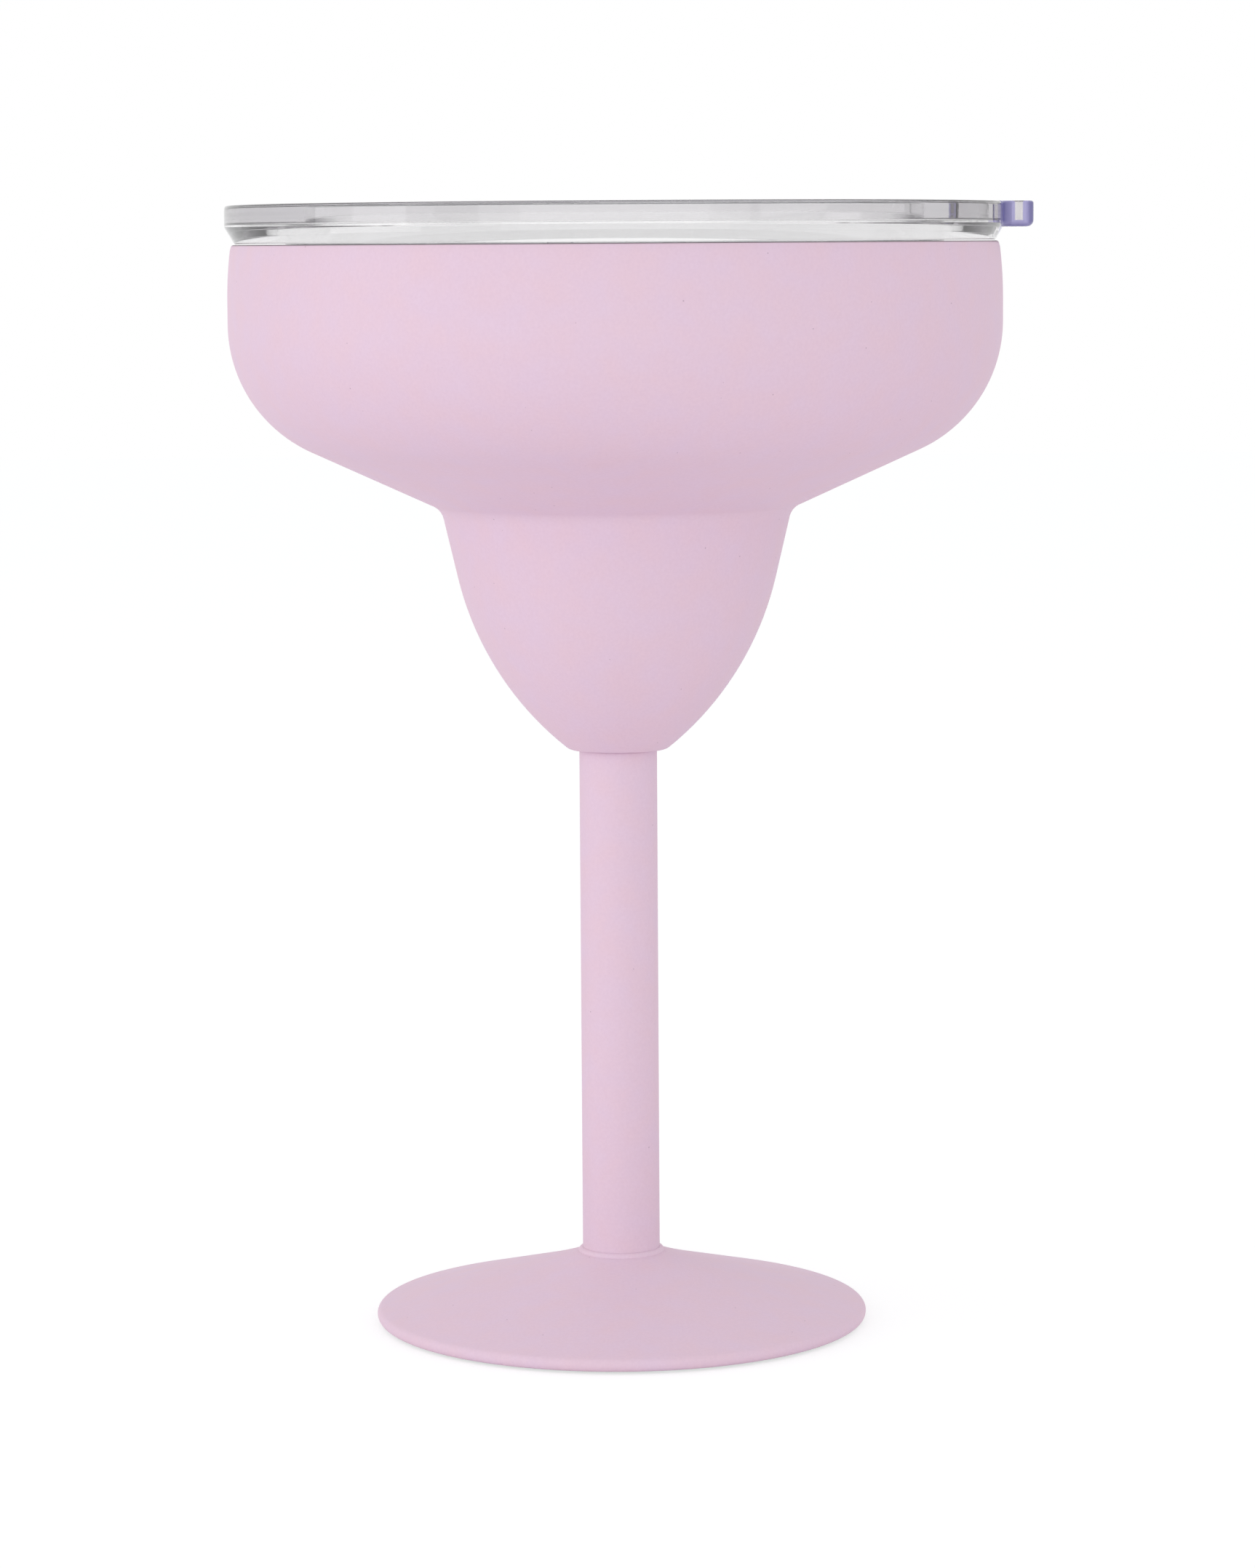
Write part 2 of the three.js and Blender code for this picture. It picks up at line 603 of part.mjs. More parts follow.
// Cover plate with a finger grip on top and a neck down through the slot, at rest off the opening
function lidSlider() {
  const plateBottom = dishFloor + SLIDE_CLEARANCE;
  const side = SLIDER_WIDTH / 2;
  const endRadius = dishFloorRadius - DISH_FILLET - SLIDE_CLEARANCE;
  const endAngle = Math.asin(side / endRadius);
  const backX = SLIDER_LENGTH - endRadius;
  const backCorner = side / 2;
  const plan = new THREE.Shape();
  plan.absarc(0, 0, endRadius, Math.PI - endAngle, Math.PI + endAngle);
  plan.absarc(backX - backCorner, -side + backCorner, backCorner, -Math.PI / 2, 0);
  plan.absarc(backX - backCorner, side - backCorner, backCorner, 0, Math.PI / 2);
  const plate = prism(plan, plateBottom, SLIDER_THICKNESS);
  plate.translate(SLIDER_TRAVEL, 0, 0);
  const gripX = SLIDER_TRAVEL + backX - SLIDER_GRIP_SETBACK - SLIDER_GRIP_LENGTH / 2;
  const gripWidth = SLIDER_WIDTH - 2 * SLIDER_GRIP_SETBACK;
  const gripPlan = roundedRectangle(gripX, SLIDER_GRIP_LENGTH, gripWidth, SLIDER_GRIP_LENGTH / 3);
  const midPlate = plateBottom + SLIDER_THICKNESS / 2;
  const gripTop = plateBottom + SLIDER_THICKNESS + SLIDER_GRIP_HEIGHT;
  const grip = prism(gripPlan, midPlate, gripTop - midPlate, SLIDER_GRIP_LENGTH / 6);
  const neckRounding = SLIDER_NECK_WIDTH / 4;
  const neckPlan = roundedRectangle(neckRestX, SLIDER_NECK_LENGTH, SLIDER_NECK_WIDTH, neckRounding);
  const neck = prism(neckPlan, keeperBottom, midPlate - keeperBottom);
  return toGeometry(toSolid(plate).add(toSolid(grip)).add(toSolid(neck)));
}

// Plate snapped on the slider's neck under the lid's floor
function sliderKeeper() {
  const plan = roundedRectangle(neckRestX, KEEPER_LENGTH, KEEPER_WIDTH, KEEPER_WIDTH / 4);
  const socketPlan = roundedRectangle(
    neckRestX,
    SLIDER_NECK_LENGTH + 2 * SEAT_CLEARANCE,
    SLIDER_NECK_WIDTH + 2 * SEAT_CLEARANCE,
    SLIDER_NECK_WIDTH / 4,
  );
  plan.holes.push(socketPlan);
  return prism(plan, keeperBottom, KEEPER_THICKNESS);
}

const coat = { color: COAT_PINK, roughness: 0.6, metalness: 0 };
const steel = { color: STEEL_GREY, roughness: 0.3, metalness: 1 };
const plastic = { color: CLEAR_PLASTIC, roughness: 0.06, metalness: 0, transparent: true, opacity: 0.35 };
const silicone = { color: CLEAR_SILICONE, roughness: 0.5, metalness: 0, transparent: true, opacity: 0.7 };
const getterMetal = { color: GETTER_GREY, roughness: 0.5, metalness: 1 };
const padRubber = { color: PAD_GREY, roughness: 0.8, metalness: 0 };

const glass = new THREE.Group();

function addPiece(name, geometry, finish) {
  const mesh = new THREE.Mesh(geometry, new THREE.MeshStandardMaterial(finish));
  mesh.name = name;
  glass.add(mesh);
}

addPiece('outer_bowl', outerBowl(), coat);
addPiece('inner_liner', innerLiner(), steel);
addPiece('vacuum_plug', vacuumPlug(), steel);
addPiece('getter_capsule', getterCapsule(), getterMetal);
addPiece('bowl_stud', bowlStud(), steel);
addPiece('stem_nut', stemNut(), steel);
addPiece('stem_tube', stemTube(), coat);
addPiece('stem_weld_bead', stemWeldBead(), coat);
addPiece('foot_shell', footShell(), coat);
addPiece('base_plate', basePlate(), steel);
addPiece('foot_pad', footPad(), padRubber);
addPiece('lid_gasket', lidGasket(), silicone);
addPiece('lid_body', lidBody(), plastic);
addPiece('lid_slider', lidSlider(), plastic);
addPiece('slider_keeper', sliderKeeper(), plastic);

export default glass;
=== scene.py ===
"""Looks of a double-wall cocktail glass with a clear lid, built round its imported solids."""
import math

import bmesh
import bpy
from mathutils import Matrix, Vector


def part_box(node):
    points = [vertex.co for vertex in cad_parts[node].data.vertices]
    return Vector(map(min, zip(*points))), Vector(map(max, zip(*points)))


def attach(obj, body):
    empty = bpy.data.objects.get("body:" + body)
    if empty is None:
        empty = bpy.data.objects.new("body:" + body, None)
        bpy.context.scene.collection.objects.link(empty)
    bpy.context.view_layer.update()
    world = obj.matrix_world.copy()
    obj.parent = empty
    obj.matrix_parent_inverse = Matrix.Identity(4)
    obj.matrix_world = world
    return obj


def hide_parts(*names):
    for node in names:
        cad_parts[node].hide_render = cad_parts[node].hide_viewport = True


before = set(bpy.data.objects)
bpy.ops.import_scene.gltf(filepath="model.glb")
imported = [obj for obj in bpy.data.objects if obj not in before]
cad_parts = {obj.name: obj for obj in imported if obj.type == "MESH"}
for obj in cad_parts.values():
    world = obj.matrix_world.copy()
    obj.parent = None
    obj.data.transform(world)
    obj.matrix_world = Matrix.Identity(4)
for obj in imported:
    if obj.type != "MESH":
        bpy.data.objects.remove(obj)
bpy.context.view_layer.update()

MM = 0.001

# Fineness of the meshes
ROUND_STEPS = 192
ARC_STEP = 2.0
EDGE_ARC_STEP = 15.0
HOLDING_EDGE = 0.08
SHARP_ANGLE = 34.0
MERGE_DISTANCE = 1e-7


def turned_size(node):
    """Greatest radius, lowest and highest height of a turned node, in millimetres."""
    low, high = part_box(node)
    return high.y / MM, low.z / MM, high.z / MM


# Sizes taken from the frame, in millimetres
bowl_radius, bowl_base, rim_height = turned_size("outer_bowl")
stem_radius, plate_top, stem_top = turned_size("stem_tube")
foot_radius, foot_under, _ = turned_size("foot_shell")
bead_radius, bead_under, _ = turned_size("stem_weld_bead")
plate_radius, plate_under, _ = turned_size("base_plate")
pad_radius, pad_under, pad_top = turned_size("foot_pad")
gasket_radius, gasket_under, gasket_top = turned_size("lid_gasket")
lid_radius, plug_bottom, lid_top = turned_size("lid_body")
tab_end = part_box("lid_body")[1].x / MM
slider_low, slider_high = (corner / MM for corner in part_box("lid_slider"))
keeper_low, keeper_high = (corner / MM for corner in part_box("slider_keeper"))

# Bowl: the outside of its outer wall, and the walls inside it
SHOULDER_ANGLE = 24.6
SHOULDER_CORNER_RADIUS = 21.2
NECK_RADIUS = 26.9
NECK_FILLET = 3.0
CUP_HEIGHT = 37.15
CUP_TAPER = 13.1
CUP_ARC_RADIUS = 47.9
CUP_BASE_RADIUS = 7.6
CUP_BASE_CORNER = 1.4
RIM_TUCK = 0.6
RIM_TUCK_HEIGHT = 8.8
RIM_TUCK_STEPS = 10
RIM_CORNER = 0.5
# Height of the lip's ground steel band, painted dark as painted shade for the gap under the lid
BARE_SHADED_LIP_HEIGHT = 0.12
OUTER_WALL = 0.8
VACUUM_GAP = 2.4
LINER_WALL = 0.8
BASE_VACUUM_GAP = 5.0
LINER_BASE_CORNER = 5.0
LIP_FLARE_HEIGHT = 4.6
LIP_STEPS = 14
LIP_WELD_GAP = 0.15
VACUUM_HOLE_RADIUS = 1.5

# Foot and stem
STEM_WALL = 1.2
STEM_END_ROUNDING = 0.08
FOOT_SHEET = 1.05
FOOT_SLOPE = 14.4
FOOT_FLARE_WIDTH = 12.0
FOOT_FLARE_STEPS = 14
FOOT_LIP_WIDTH = 4.0
SEAT_GAP = 0.15
BEAD_GAP = 0.02
PLATE_SHEET = 1.0
PLATE_RIM_WIDTH = 3.0
PLATE_BEND = 0.35
PAD_EDGE = 0.3

# Lid
FLANGE_HEIGHT = 5.8
FLANGE_WALL = 2.2
FLANGE_TAPER_HEIGHT = 2.5
FLANGE_TAPER_DEPTH = 1.5
FLANGE_TOP_CORNER = 0.6
LID_TOP_THICKNESS = 2.8
DISH_RADIUS = 47.3
DISH_DEPTH = 11.85
DISH_DRAFT = 0.4
DISH_WALL = 2.9
DISH_FILLET = 1.5
LID_FLOOR_THICKNESS = 2.2
PLUG_FLANGE_WIDTH = 3.4
PLUG_FLANGE_THICKNESS = 1.35
GROOVE_HEIGHT = 3.5
MOULD_EDGE = 0.08
TAB_WIDTH = 20.0
TAB_HEIGHT = 3.9
TAB_ROOT_FILLET = 2.2
TAB_ROOT_DEPTH = 1.5
TAB_CORNER = 1.9
TAB_LOWER_EDGE = 1.0
TAB_UPPER_EDGE = 0.4
# Depth in from the lid's edge over which the tab's painted glow is laid
TAB_PAINTED_GLOW_DEPTH = 1.6
SIP_LENGTH = 7.0
SIP_WIDTH = 14.0
SIP_CORNER = 2.9
SIP_EDGE_DISTANCE = 3.4
SIP_TO_SLOT = 5.4
SLOT_LENGTH = 18.4
SLOT_WIDTH = 5.0
SLOT_CORNER = 1.25
VENT_RADIUS = 1.5
CUT_CHAMFER = 0.25
SLIDER_TRAVEL = 9.8
SLIDER_THICKNESS = 1.8
SLIDER_EDGE = 0.3
SLIDER_FRONT_CORNER = 1.5
SLIDE_GAP = 0.3
GRIP_LENGTH = 4.0
GRIP_SETBACK = 4.0
GRIP_EDGE = 0.65
NECK_LENGTH = 8.0
NECK_WIDTH = 4.4
KEEPER_EDGE = 0.25
GASKET_GAP = 0.25
GASKET_BODY_WIDTH = 2.4
GASKET_FIN = 0.7
GASKET_EDGE = 0.1


# Outlines and meshes
def arc(centre, radius, start, end, step=ARC_STEP):
    """Points along an arc given in degrees, both ends included."""
    count = max(1, round(abs(end - start) / step))
    turns = [math.radians(start + (end - start) * index / count) for index in range(count + 1)]
    return [(centre[0] + radius * math.cos(turn), centre[1] + radius * math.sin(turn)) for turn in turns]


def bezier(corners, count):
    """Points along a cubic curve from its four corners, both ends included."""
    points = []
    for index in range(count + 1):
        t = index / count
        shares = ((1 - t) ** 3, 3 * t * (1 - t) ** 2, 3 * t * t * (1 - t), t ** 3)
        points.append(tuple(sum(s * c[axis] for s, c in zip(shares, corners)) for axis in (0, 1)))
    return points


def rounded(corners):
    """A closed outline from (radius, height, rounding) corners, each rounded by an arc."""
    points = []
    for index, (x, y, rounding) in enumerate(corners):
        if not rounding:
            points.append((x, y))
            continue
        here = Vector((x, y))
        back = (Vector(corners[index - 1][:2]) - here).normalized()
        on = (Vector(corners[(index + 1) % len(corners)][:2]) - here).normalized()
        half = back.angle(on) / 2
        centre = here + (back + on).normalized() * (rounding / math.sin(half))
        first = here + back * (rounding / math.tan(half))
        last = here + on * (rounding / math.tan(half))
        start = math.degrees(math.atan2(first.y - centre.y, first.x - centre.x))
        end = math.degrees(math.atan2(last.y - centre.y, last.x - centre.x))
        turn = (end - start + 180) % 360 - 180
        points.append(tuple(first + back * HOLDING_EDGE))
        points.extend(arc(centre, rounding, start, start + turn, EDGE_ARC_STEP))
        points.append(tuple(last + on * HOLDING_EDGE))
    return points


def smooth_shading(mesh):
    """Smooth faces that break only at the piece's sharp edges."""
    mesh.shade_smooth()
    mesh.set_sharp_from_angle(angle=math.radians(SHARP_ANGLE))


def to_object(name, builder):
    """A closed mesh object with its faces pointing out."""
    bmesh.ops.remove_doubles(builder, verts=builder.verts, dist=MERGE_DISTANCE)
    bmesh.ops.recalc_face_normals(builder, faces=builder.faces)
    mesh = bpy.data.meshes.new(name)
    builder.to_mesh(mesh)
    builder.free()
    smooth_shading(mesh)
    piece = bpy.data.objects.new(name, mesh)
    bpy.context.scene.collection.objects.link(piece)
    return piece


def turned(name, outline, steps=ROUND_STEPS):
    """A turned piece from a closed outline of (radius, height), or from one that ends on the axis."""
    builder = bmesh.new()
    turns = [2 * math.pi * step / steps for step in range(steps)]
    rings = []
    for radius, height in outline:
        if radius == 0:
            rings.append([builder.verts.new((0, 0, height * MM))] * steps)
            continue
        reach = radius * MM
        ring = [(reach * math.cos(turn), reach * math.sin(turn), height * MM) for turn in turns]
        rings.append([builder.verts.new(point) for point in ring])
    pairs = list(zip(rings, rings[1:]))
    if outline[0][0] > 0:
        pairs.append((rings[-1], rings[0]))
    for lower, upper in pairs:
        for step in range(steps):
            after = (step + 1) % steps
            corners = dict.fromkeys((lower[step], lower[after], upper[after], upper[step]))
            if len(corners) > 2:
                builder.faces.new(list(corners))
    return to_object(name, builder)


def stacked(name, rings, hole=None):
    """A piece from plan outlines stacked as (height, points) rings, with a hole if one is given."""
    builder = bmesh.new()

    def wall(layers):
        loops = []
        for height, points in layers:
            loops.append([builder.verts.new((x * MM, y * MM, height * MM)) for x, y in points])
        for lower, upper in zip(loops, loops[1:]):
            band(lower, upper)
        return loops

    def band(lower, upper):
        for index in range(len(lower)):
            after = (index + 1) % len(lower)
            builder.faces.new((lower[index], lower[after], upper[after], upper[index]))

    outer = wall(rings)
    inner = wall(hole) if hole else None
    for end in (0, -1):
        if inner:
            band(outer[end], inner[end])
        else:
            builder.faces.new(outer[end])
    return to_object(name, builder)


def soft_edge(plan, height, inward, edge):
    """Rings of one rounded edge of a prism, from its end face to its side."""
    rings = [(height, plan(-edge - HOLDING_EDGE))]
    for across, along in arc((0, 0), edge, 0, 90, EDGE_ARC_STEP):
        rings.append((height + inward * (edge - across), plan(along - edge)))
    rings.append((height + inward * (edge + HOLDING_EDGE), plan(0)))
    return rings


def soft_edged(plan, bottom, top, lower_edge, upper_edge):
    """Rings of a prism on a plan whose bottom and top edges are rounded."""
    return soft_edge(plan, bottom, 1, lower_edge) + soft_edge(plan, top, -1, upper_edge)[::-1]


def rounded_rectangle(centre_x, length, width, corner):
    """Plan of a rectangle with round corners, which can grow by a margin."""
    reach = length / 2 - corner
    side = width / 2 - corner
    places = ((reach, side, 0), (-reach, side, 90), (-reach, -side, 180), (reach, -side, 270))

    def plan(grow):
        points = []
        for x, y, start in places:
            points.extend(arc((centre_x + x, y), corner + grow, start, start + 90, EDGE_ARC_STEP))
        return points

    return plan


def joined(piece, tool, operation):
    """The piece with a tool solid added to it or cut out of it."""
    modifier = piece.modifiers.new(operation, "BOOLEAN")
    modifier.operation = operation
    modifier.solver = "EXACT"
    modifier.object = tool
    shaped = piece.evaluated_get(bpy.context.evaluated_depsgraph_get())
    mesh = bpy.data.meshes.new_from_object(shaped)
    piece.modifiers.clear()
    piece.data = mesh
    bpy.data.objects.remove(tool)
    smooth_shading(mesh)
    return piece


def fit(piece, node, body, material):
    """The piece stands for its CAD node, rides on its body and takes its finish."""
    piece.data.materials.clear()
    piece.data.materials.append(material)
    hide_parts(node)
    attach(piece, body)


# Bowl
neck_height = bowl_base + CUP_HEIGHT
cup_taper = math.radians(CUP_TAPER)
shoulder_angle = math.radians(SHOULDER_ANGLE)
cup_normal = Vector((math.cos(cup_taper), -math.sin(cup_taper)))
shoulder_normal = Vector((math.sin(shoulder_angle), -math.cos(shoulder_angle)))
neck_corner = Vector((NECK_RADIUS, neck_height))
neck_fillet_reach = NECK_FILLET / (1 + cup_normal.dot(shoulder_normal))
neck_centre = neck_corner + (cup_normal + shoulder_normal) * neck_fillet_reach
shoulder_reach = bowl_radius - SHOULDER_CORNER_RADIUS
shoulder_run = (shoulder_reach - NECK_RADIUS) * shoulder_normal.x
shoulder_drop = (SHOULDER_CORNER_RADIUS + shoulder_run) / shoulder_normal.y
shoulder_centre = Vector((shoulder_reach, neck_height - shoulder_drop))


def find_cup_centre():
    """Centre of the cup's arc, tangent to its tapered side and through the corner of its base."""
    down = Vector((-math.sin(cup_taper), -math.cos(cup_taper)))
    start = neck_corner - cup_normal * CUP_ARC_RADIUS
    reach = start - Vector((CUP_BASE_RADIUS, bowl_base))
    along = -reach.dot(down) - math.sqrt(CUP_ARC_RADIUS ** 2 - reach.dot(cup_normal) ** 2)
    return start + down * along


cup_centre = find_cup_centre()


def bowl_outline(inset, floor, corner):
    """One surface of the bowl's walls, parallel to the outside, from its floor to the upright wall."""
    cup_radius = CUP_ARC_RADIUS - inset
    rise = floor + corner - cup_centre.y
    corner_reach = cup_centre.x + math.sqrt((cup_radius - corner) ** 2 - rise ** 2)
    cup_start = math.degrees(math.atan2(rise, corner_reach - cup_centre.x))
    return [
        *arc((corner_reach, floor + corner), corner, -90, cup_start, EDGE_ARC_STEP),
        *arc(cup_centre, cup_radius, cup_start, -CUP_TAPER)[1:],
        *arc(neck_centre, NECK_FILLET + inset, 180 - CUP_TAPER, 90 + SHOULDER_ANGLE, 2 * ARC_STEP),
        *arc(shoulder_centre, SHOULDER_CORNER_RADIUS - inset, SHOULDER_ANGLE - 90, 0),
    ]


tuck_radius = (RIM_TUCK_HEIGHT ** 2 + RIM_TUCK ** 2) / (2 * RIM_TUCK)
tuck_angle = math.degrees(math.asin(RIM_TUCK_HEIGHT / tuck_radius))
rim_radius = bowl_radius - RIM_TUCK
rim_inner_radius = rim_radius - OUTER_WALL


def rim_tuck(inset):
    """The upright wall's slight tuck towards the rim."""
    centre = (bowl_radius - tuck_radius, rim_height - RIM_TUCK_HEIGHT)
    return arc(centre, tuck_radius - inset, 0, tuck_angle, tuck_angle / RIM_TUCK_STEPS)[:-1]


def make_bowl_wall():
    rim_corner = (rim_radius - RIM_CORNER, rim_height - RIM_CORNER)
    outside = [
        (VACUUM_HOLE_RADIUS, bowl_base),
        *bowl_outline(0, bowl_base, CUP_BASE_CORNER),
        *rim_tuck(0),
        *arc(rim_corner, RIM_CORNER, 0, 90, EDGE_ARC_STEP),
        (rim_inner_radius, rim_height),
    ]
    inside = [
        (VACUUM_HOLE_RADIUS, bowl_base + OUTER_WALL),
        *bowl_outline(OUTER_WALL, bowl_base + OUTER_WALL, CUP_BASE_CORNER),
        *rim_tuck(OUTER_WALL),
    ]
    return turned("coated_bowl", outside + inside[::-1])


def liner_lip(radius_below, radius_at_rim):
    """The liner's flare from its upright wall out to the rim."""
    start = rim_height - LIP_FLARE_HEIGHT
    return bezier((
        (radius_below, start),
        (radius_below, start + LIP_FLARE_HEIGHT / 2),
        (radius_at_rim, start + LIP_FLARE_HEIGHT / 4),
        (radius_at_rim, rim_height - RIM_CORNER),
    ), LIP_STEPS)


def make_liner():
    outset = OUTER_WALL + VACUUM_GAP
    inset = outset + LINER_WALL
    floor_under = bowl_base + OUTER_WALL + BASE_VACUUM_GAP
    floor = floor_under + LINER_WALL
    lip_outer = rim_inner_radius - LIP_WELD_GAP
    lip_inner = lip_outer - LINER_WALL
    lip_corner = (lip_inner + RIM_CORNER, rim_height - RIM_CORNER)
    outside = [
        (0, floor_under),
        *bowl_outline(outset, floor_under, LINER_BASE_CORNER + LINER_WALL),
        *liner_lip(bowl_radius - outset, lip_outer),
        (lip_outer, rim_height),
    ]
    inside = [
        (0, floor),
        *bowl_outline(inset, floor, LINER_BASE_CORNER),
        *liner_lip(bowl_radius - inset, lip_inner),
        *arc(lip_corner, RIM_CORNER, 180, 90, EDGE_ARC_STEP)[1:],
    ]
    return turned("steel_liner", outside + inside[::-1])


# Stem and foot
def make_stem():
    bore = stem_radius - STEM_WALL
    return turned("coated_stem", rounded([
        (bore, plate_top, 0),
        (stem_radius, plate_top, 0),
        (stem_radius, stem_top, STEM_END_ROUNDING),
        (bore, stem_top, STEM_END_ROUNDING),
    ]))


foot_slope = math.radians(FOOT_SLOPE)
hem_centre = (foot_radius - FOOT_SHEET, foot_under + FOOT_SHEET)
foot_lip_radius = foot_radius - FOOT_SHEET - FOOT_LIP_WIDTH


def cone_height(radius):
    """Height of the foot's sloping top at a radius."""
    start_radius = hem_centre[0] + FOOT_SHEET * math.sin(foot_slope)
    start_height = hem_centre[1] + FOOT_SHEET * math.cos(foot_slope)
    return start_height + (start_radius - radius) * math.tan(foot_slope)


def make_foot():
    flare_start = bead_radius + FOOT_FLARE_WIDTH
    flare_bend = bead_radius + FOOT_FLARE_WIDTH / 3
    flare_from = Vector((flare_start, cone_height(flare_start)))
    flare_by = Vector((flare_bend, cone_height(flare_bend)))
    flare_to = Vector((bead_radius, bead_under))
    flare = bezier((
        flare_from,
        flare_from.lerp(flare_by, 2 / 3),
        flare_to.lerp(flare_by, 2 / 3),
        flare_to,
    ), FOOT_FLARE_STEPS)
    collar = stem_radius + SEAT_GAP
    drop = FOOT_SHEET / math.cos(foot_slope)
    lip_top = foot_under + FOOT_SHEET
    room_over_lip = cone_height(hem_centre[0]) - drop - lip_top
    hem_inside = hem_centre[0] + room_over_lip / math.tan(foot_slope) - SEAT_GAP
    return turned("coated_foot", [
        (collar, cone_height(flare_bend) - drop),
        (flare_bend, cone_height(flare_bend) - drop),
        (hem_inside, cone_height(hem_inside) - drop),
        (hem_inside, lip_top),
        (foot_lip_radius, lip_top),
        (foot_lip_radius, foot_under),
        *arc(hem_centre, FOOT_SHEET, -90, 90 - FOOT_SLOPE, EDGE_ARC_STEP / 2),
        *flare,
        (collar, bead_under),
    ])


def make_weld_bead():
    inner = stem_radius + BEAD_GAP
    return turned("foot_weld_bead", [
        (inner, bead_under),
        *arc((inner, bead_under), bead_radius - inner, 0, 90, EDGE_ARC_STEP),
    ])


def make_base_plate():
    recess = plate_radius - PLATE_RIM_WIDTH
    recess_top = plate_top - PLATE_SHEET
    return turned("foot_base_plate", rounded([
        (0, recess_top, 0),
        (recess, recess_top, PLATE_BEND),
        (recess, plate_under, PLATE_BEND),
        (plate_radius, plate_under, PLATE_BEND),
        (plate_radius, plate_under + PLATE_SHEET, PLATE_BEND),
        (recess + PLATE_SHEET, plate_under + PLATE_SHEET, PLATE_BEND),
        (recess + PLATE_SHEET, plate_top, PLATE_BEND),
        (0, plate_top, 0),
    ]))


def make_foot_pad():
    return turned("rubber_foot_pad", rounded([
        (0, pad_under, 0),
        (pad_radius, pad_under, PAD_EDGE),
        (pad_radius, pad_top, PAD_EDGE / 2),
        (0, pad_top, 0),
    ]))


# Lid
plug_radius = DISH_RADIUS + DISH_WALL
plug_flange_radius = plug_radius + PLUG_FLANGE_WIDTH
flange_bottom = lid_top - FLANGE_HEIGHT
dish_floor = lid_top - DISH_DEPTH
dish_floor_radius = DISH_RADIUS - DISH_DRAFT
lid_under = dish_floor - LID_FLOOR_THICKNESS
groove_bottom = plug_bottom + PLUG_FLANGE_THICKNESS
groove_top = groove_bottom + GROOVE_HEIGHT
sip_outer_edge = dish_floor_radius - SIP_EDGE_DISTANCE
sip_centre = -(sip_outer_edge - SIP_LENGTH / 2)
slot_centre = -(sip_outer_edge - SIP_LENGTH - SIP_TO_SLOT - SLOT_LENGTH / 2)


def lid_turning():
    """Dish, plug with its gasket groove, and the hollow flange over the rim."""
    flange_inside = lid_radius - FLANGE_WALL
    channel_top = lid_top - LID_TOP_THICKNESS
    upper_flange_top = groove_top + PLUG_FLANGE_THICKNESS
    return turned("clear_lid", rounded([
        (0, lid_under, 0),
        (DISH_RADIUS, lid_under, MOULD_EDGE),
        (DISH_RADIUS, plug_bottom, MOULD_EDGE),
        (plug_flange_radius, plug_bottom, MOULD_EDGE),
        (plug_flange_radius, groove_bottom, MOULD_EDGE),
        (plug_radius, groove_bottom, MOULD_EDGE),
        (plug_radius, groove_top, MOULD_EDGE),
        (plug_flange_radius, groove_top, MOULD_EDGE),
        (plug_flange_radius, upper_flange_top, MOULD_EDGE),
        (plug_radius, upper_flange_top, MOULD_EDGE),
        (plug_radius, channel_top, 2 * MOULD_EDGE),
        (flange_inside, channel_top, 2 * MOULD_EDGE),
        (flange_inside, flange_bottom, MOULD_EDGE),
        (lid_radius - FLANGE_TAPER_DEPTH, flange_bottom, MOULD_EDGE),
        (lid_radius, flange_bottom + FLANGE_TAPER_HEIGHT, MOULD_EDGE),
        (lid_radius, lid_top, FLANGE_TOP_CORNER),
        (DISH_RADIUS, lid_top, FLANGE_TOP_CORNER),
        (dish_floor_radius, dish_floor, DISH_FILLET),
        (0, dish_floor, 0),
    ]))


def tab_plan(grow):
    """Plan of the lift tab: hollow fillets at the flange, straight sides and rounded outer corners."""
    side = TAB_WIDTH / 2
    fillet_side = side + TAB_ROOT_FILLET
    fillet_x = math.sqrt((lid_radius + TAB_ROOT_FILLET) ** 2 - fillet_side ** 2)
    turn = math.degrees(math.atan2(fillet_side, fillet_x))
    corner_x = tab_end - TAB_CORNER
    corner_y = side - TAB_CORNER
    return [
        *arc((fillet_x, -fillet_side), TAB_ROOT_FILLET - grow, 180 - turn, 90, EDGE_ARC_STEP / 2),
        *arc((corner_x, -corner_y), TAB_CORNER + grow, -90, 0, EDGE_ARC_STEP / 2),
        *arc((corner_x, corner_y), TAB_CORNER + grow, 0, 90, EDGE_ARC_STEP / 2),
        *arc((fillet_x, fillet_side), TAB_ROOT_FILLET - grow, -90, turn - 180, EDGE_ARC_STEP / 2),
        *arc((0, 0), lid_radius - TAB_ROOT_DEPTH, turn, -turn, ARC_STEP),
    ]


def floor_cutter(plan):
    """A cutter through the lid's floor that breaks its edges by a chamfer."""
    past = CUT_CHAMFER
    return stacked("floor_cutter", [
        (lid_under - past, plan(CUT_CHAMFER + past)),
        (lid_under + CUT_CHAMFER, plan(0)),
        (dish_floor - CUT_CHAMFER, plan(0)),
        (dish_floor + past, plan(CUT_CHAMFER + past)),
    ])


def make_lid():
    tab_under = lid_top - TAB_HEIGHT
    tab_rings = soft_edged(tab_plan, tab_under, lid_top, TAB_LOWER_EDGE, TAB_UPPER_EDGE)
    lid = joined(lid_turning(), stacked("lift_tab", tab_rings), "UNION")
    cuts = (
        rounded_rectangle(sip_centre, SIP_LENGTH, SIP_WIDTH, SIP_CORNER),
        rounded_rectangle(slot_centre, SLOT_LENGTH, SLOT_WIDTH, SLOT_CORNER),
        rounded_rectangle(-sip_centre, 2 * VENT_RADIUS, 2 * VENT_RADIUS, VENT_RADIUS),
    )
    for plan in cuts:
        joined(lid, floor_cutter(plan), "DIFFERENCE")
    return lid


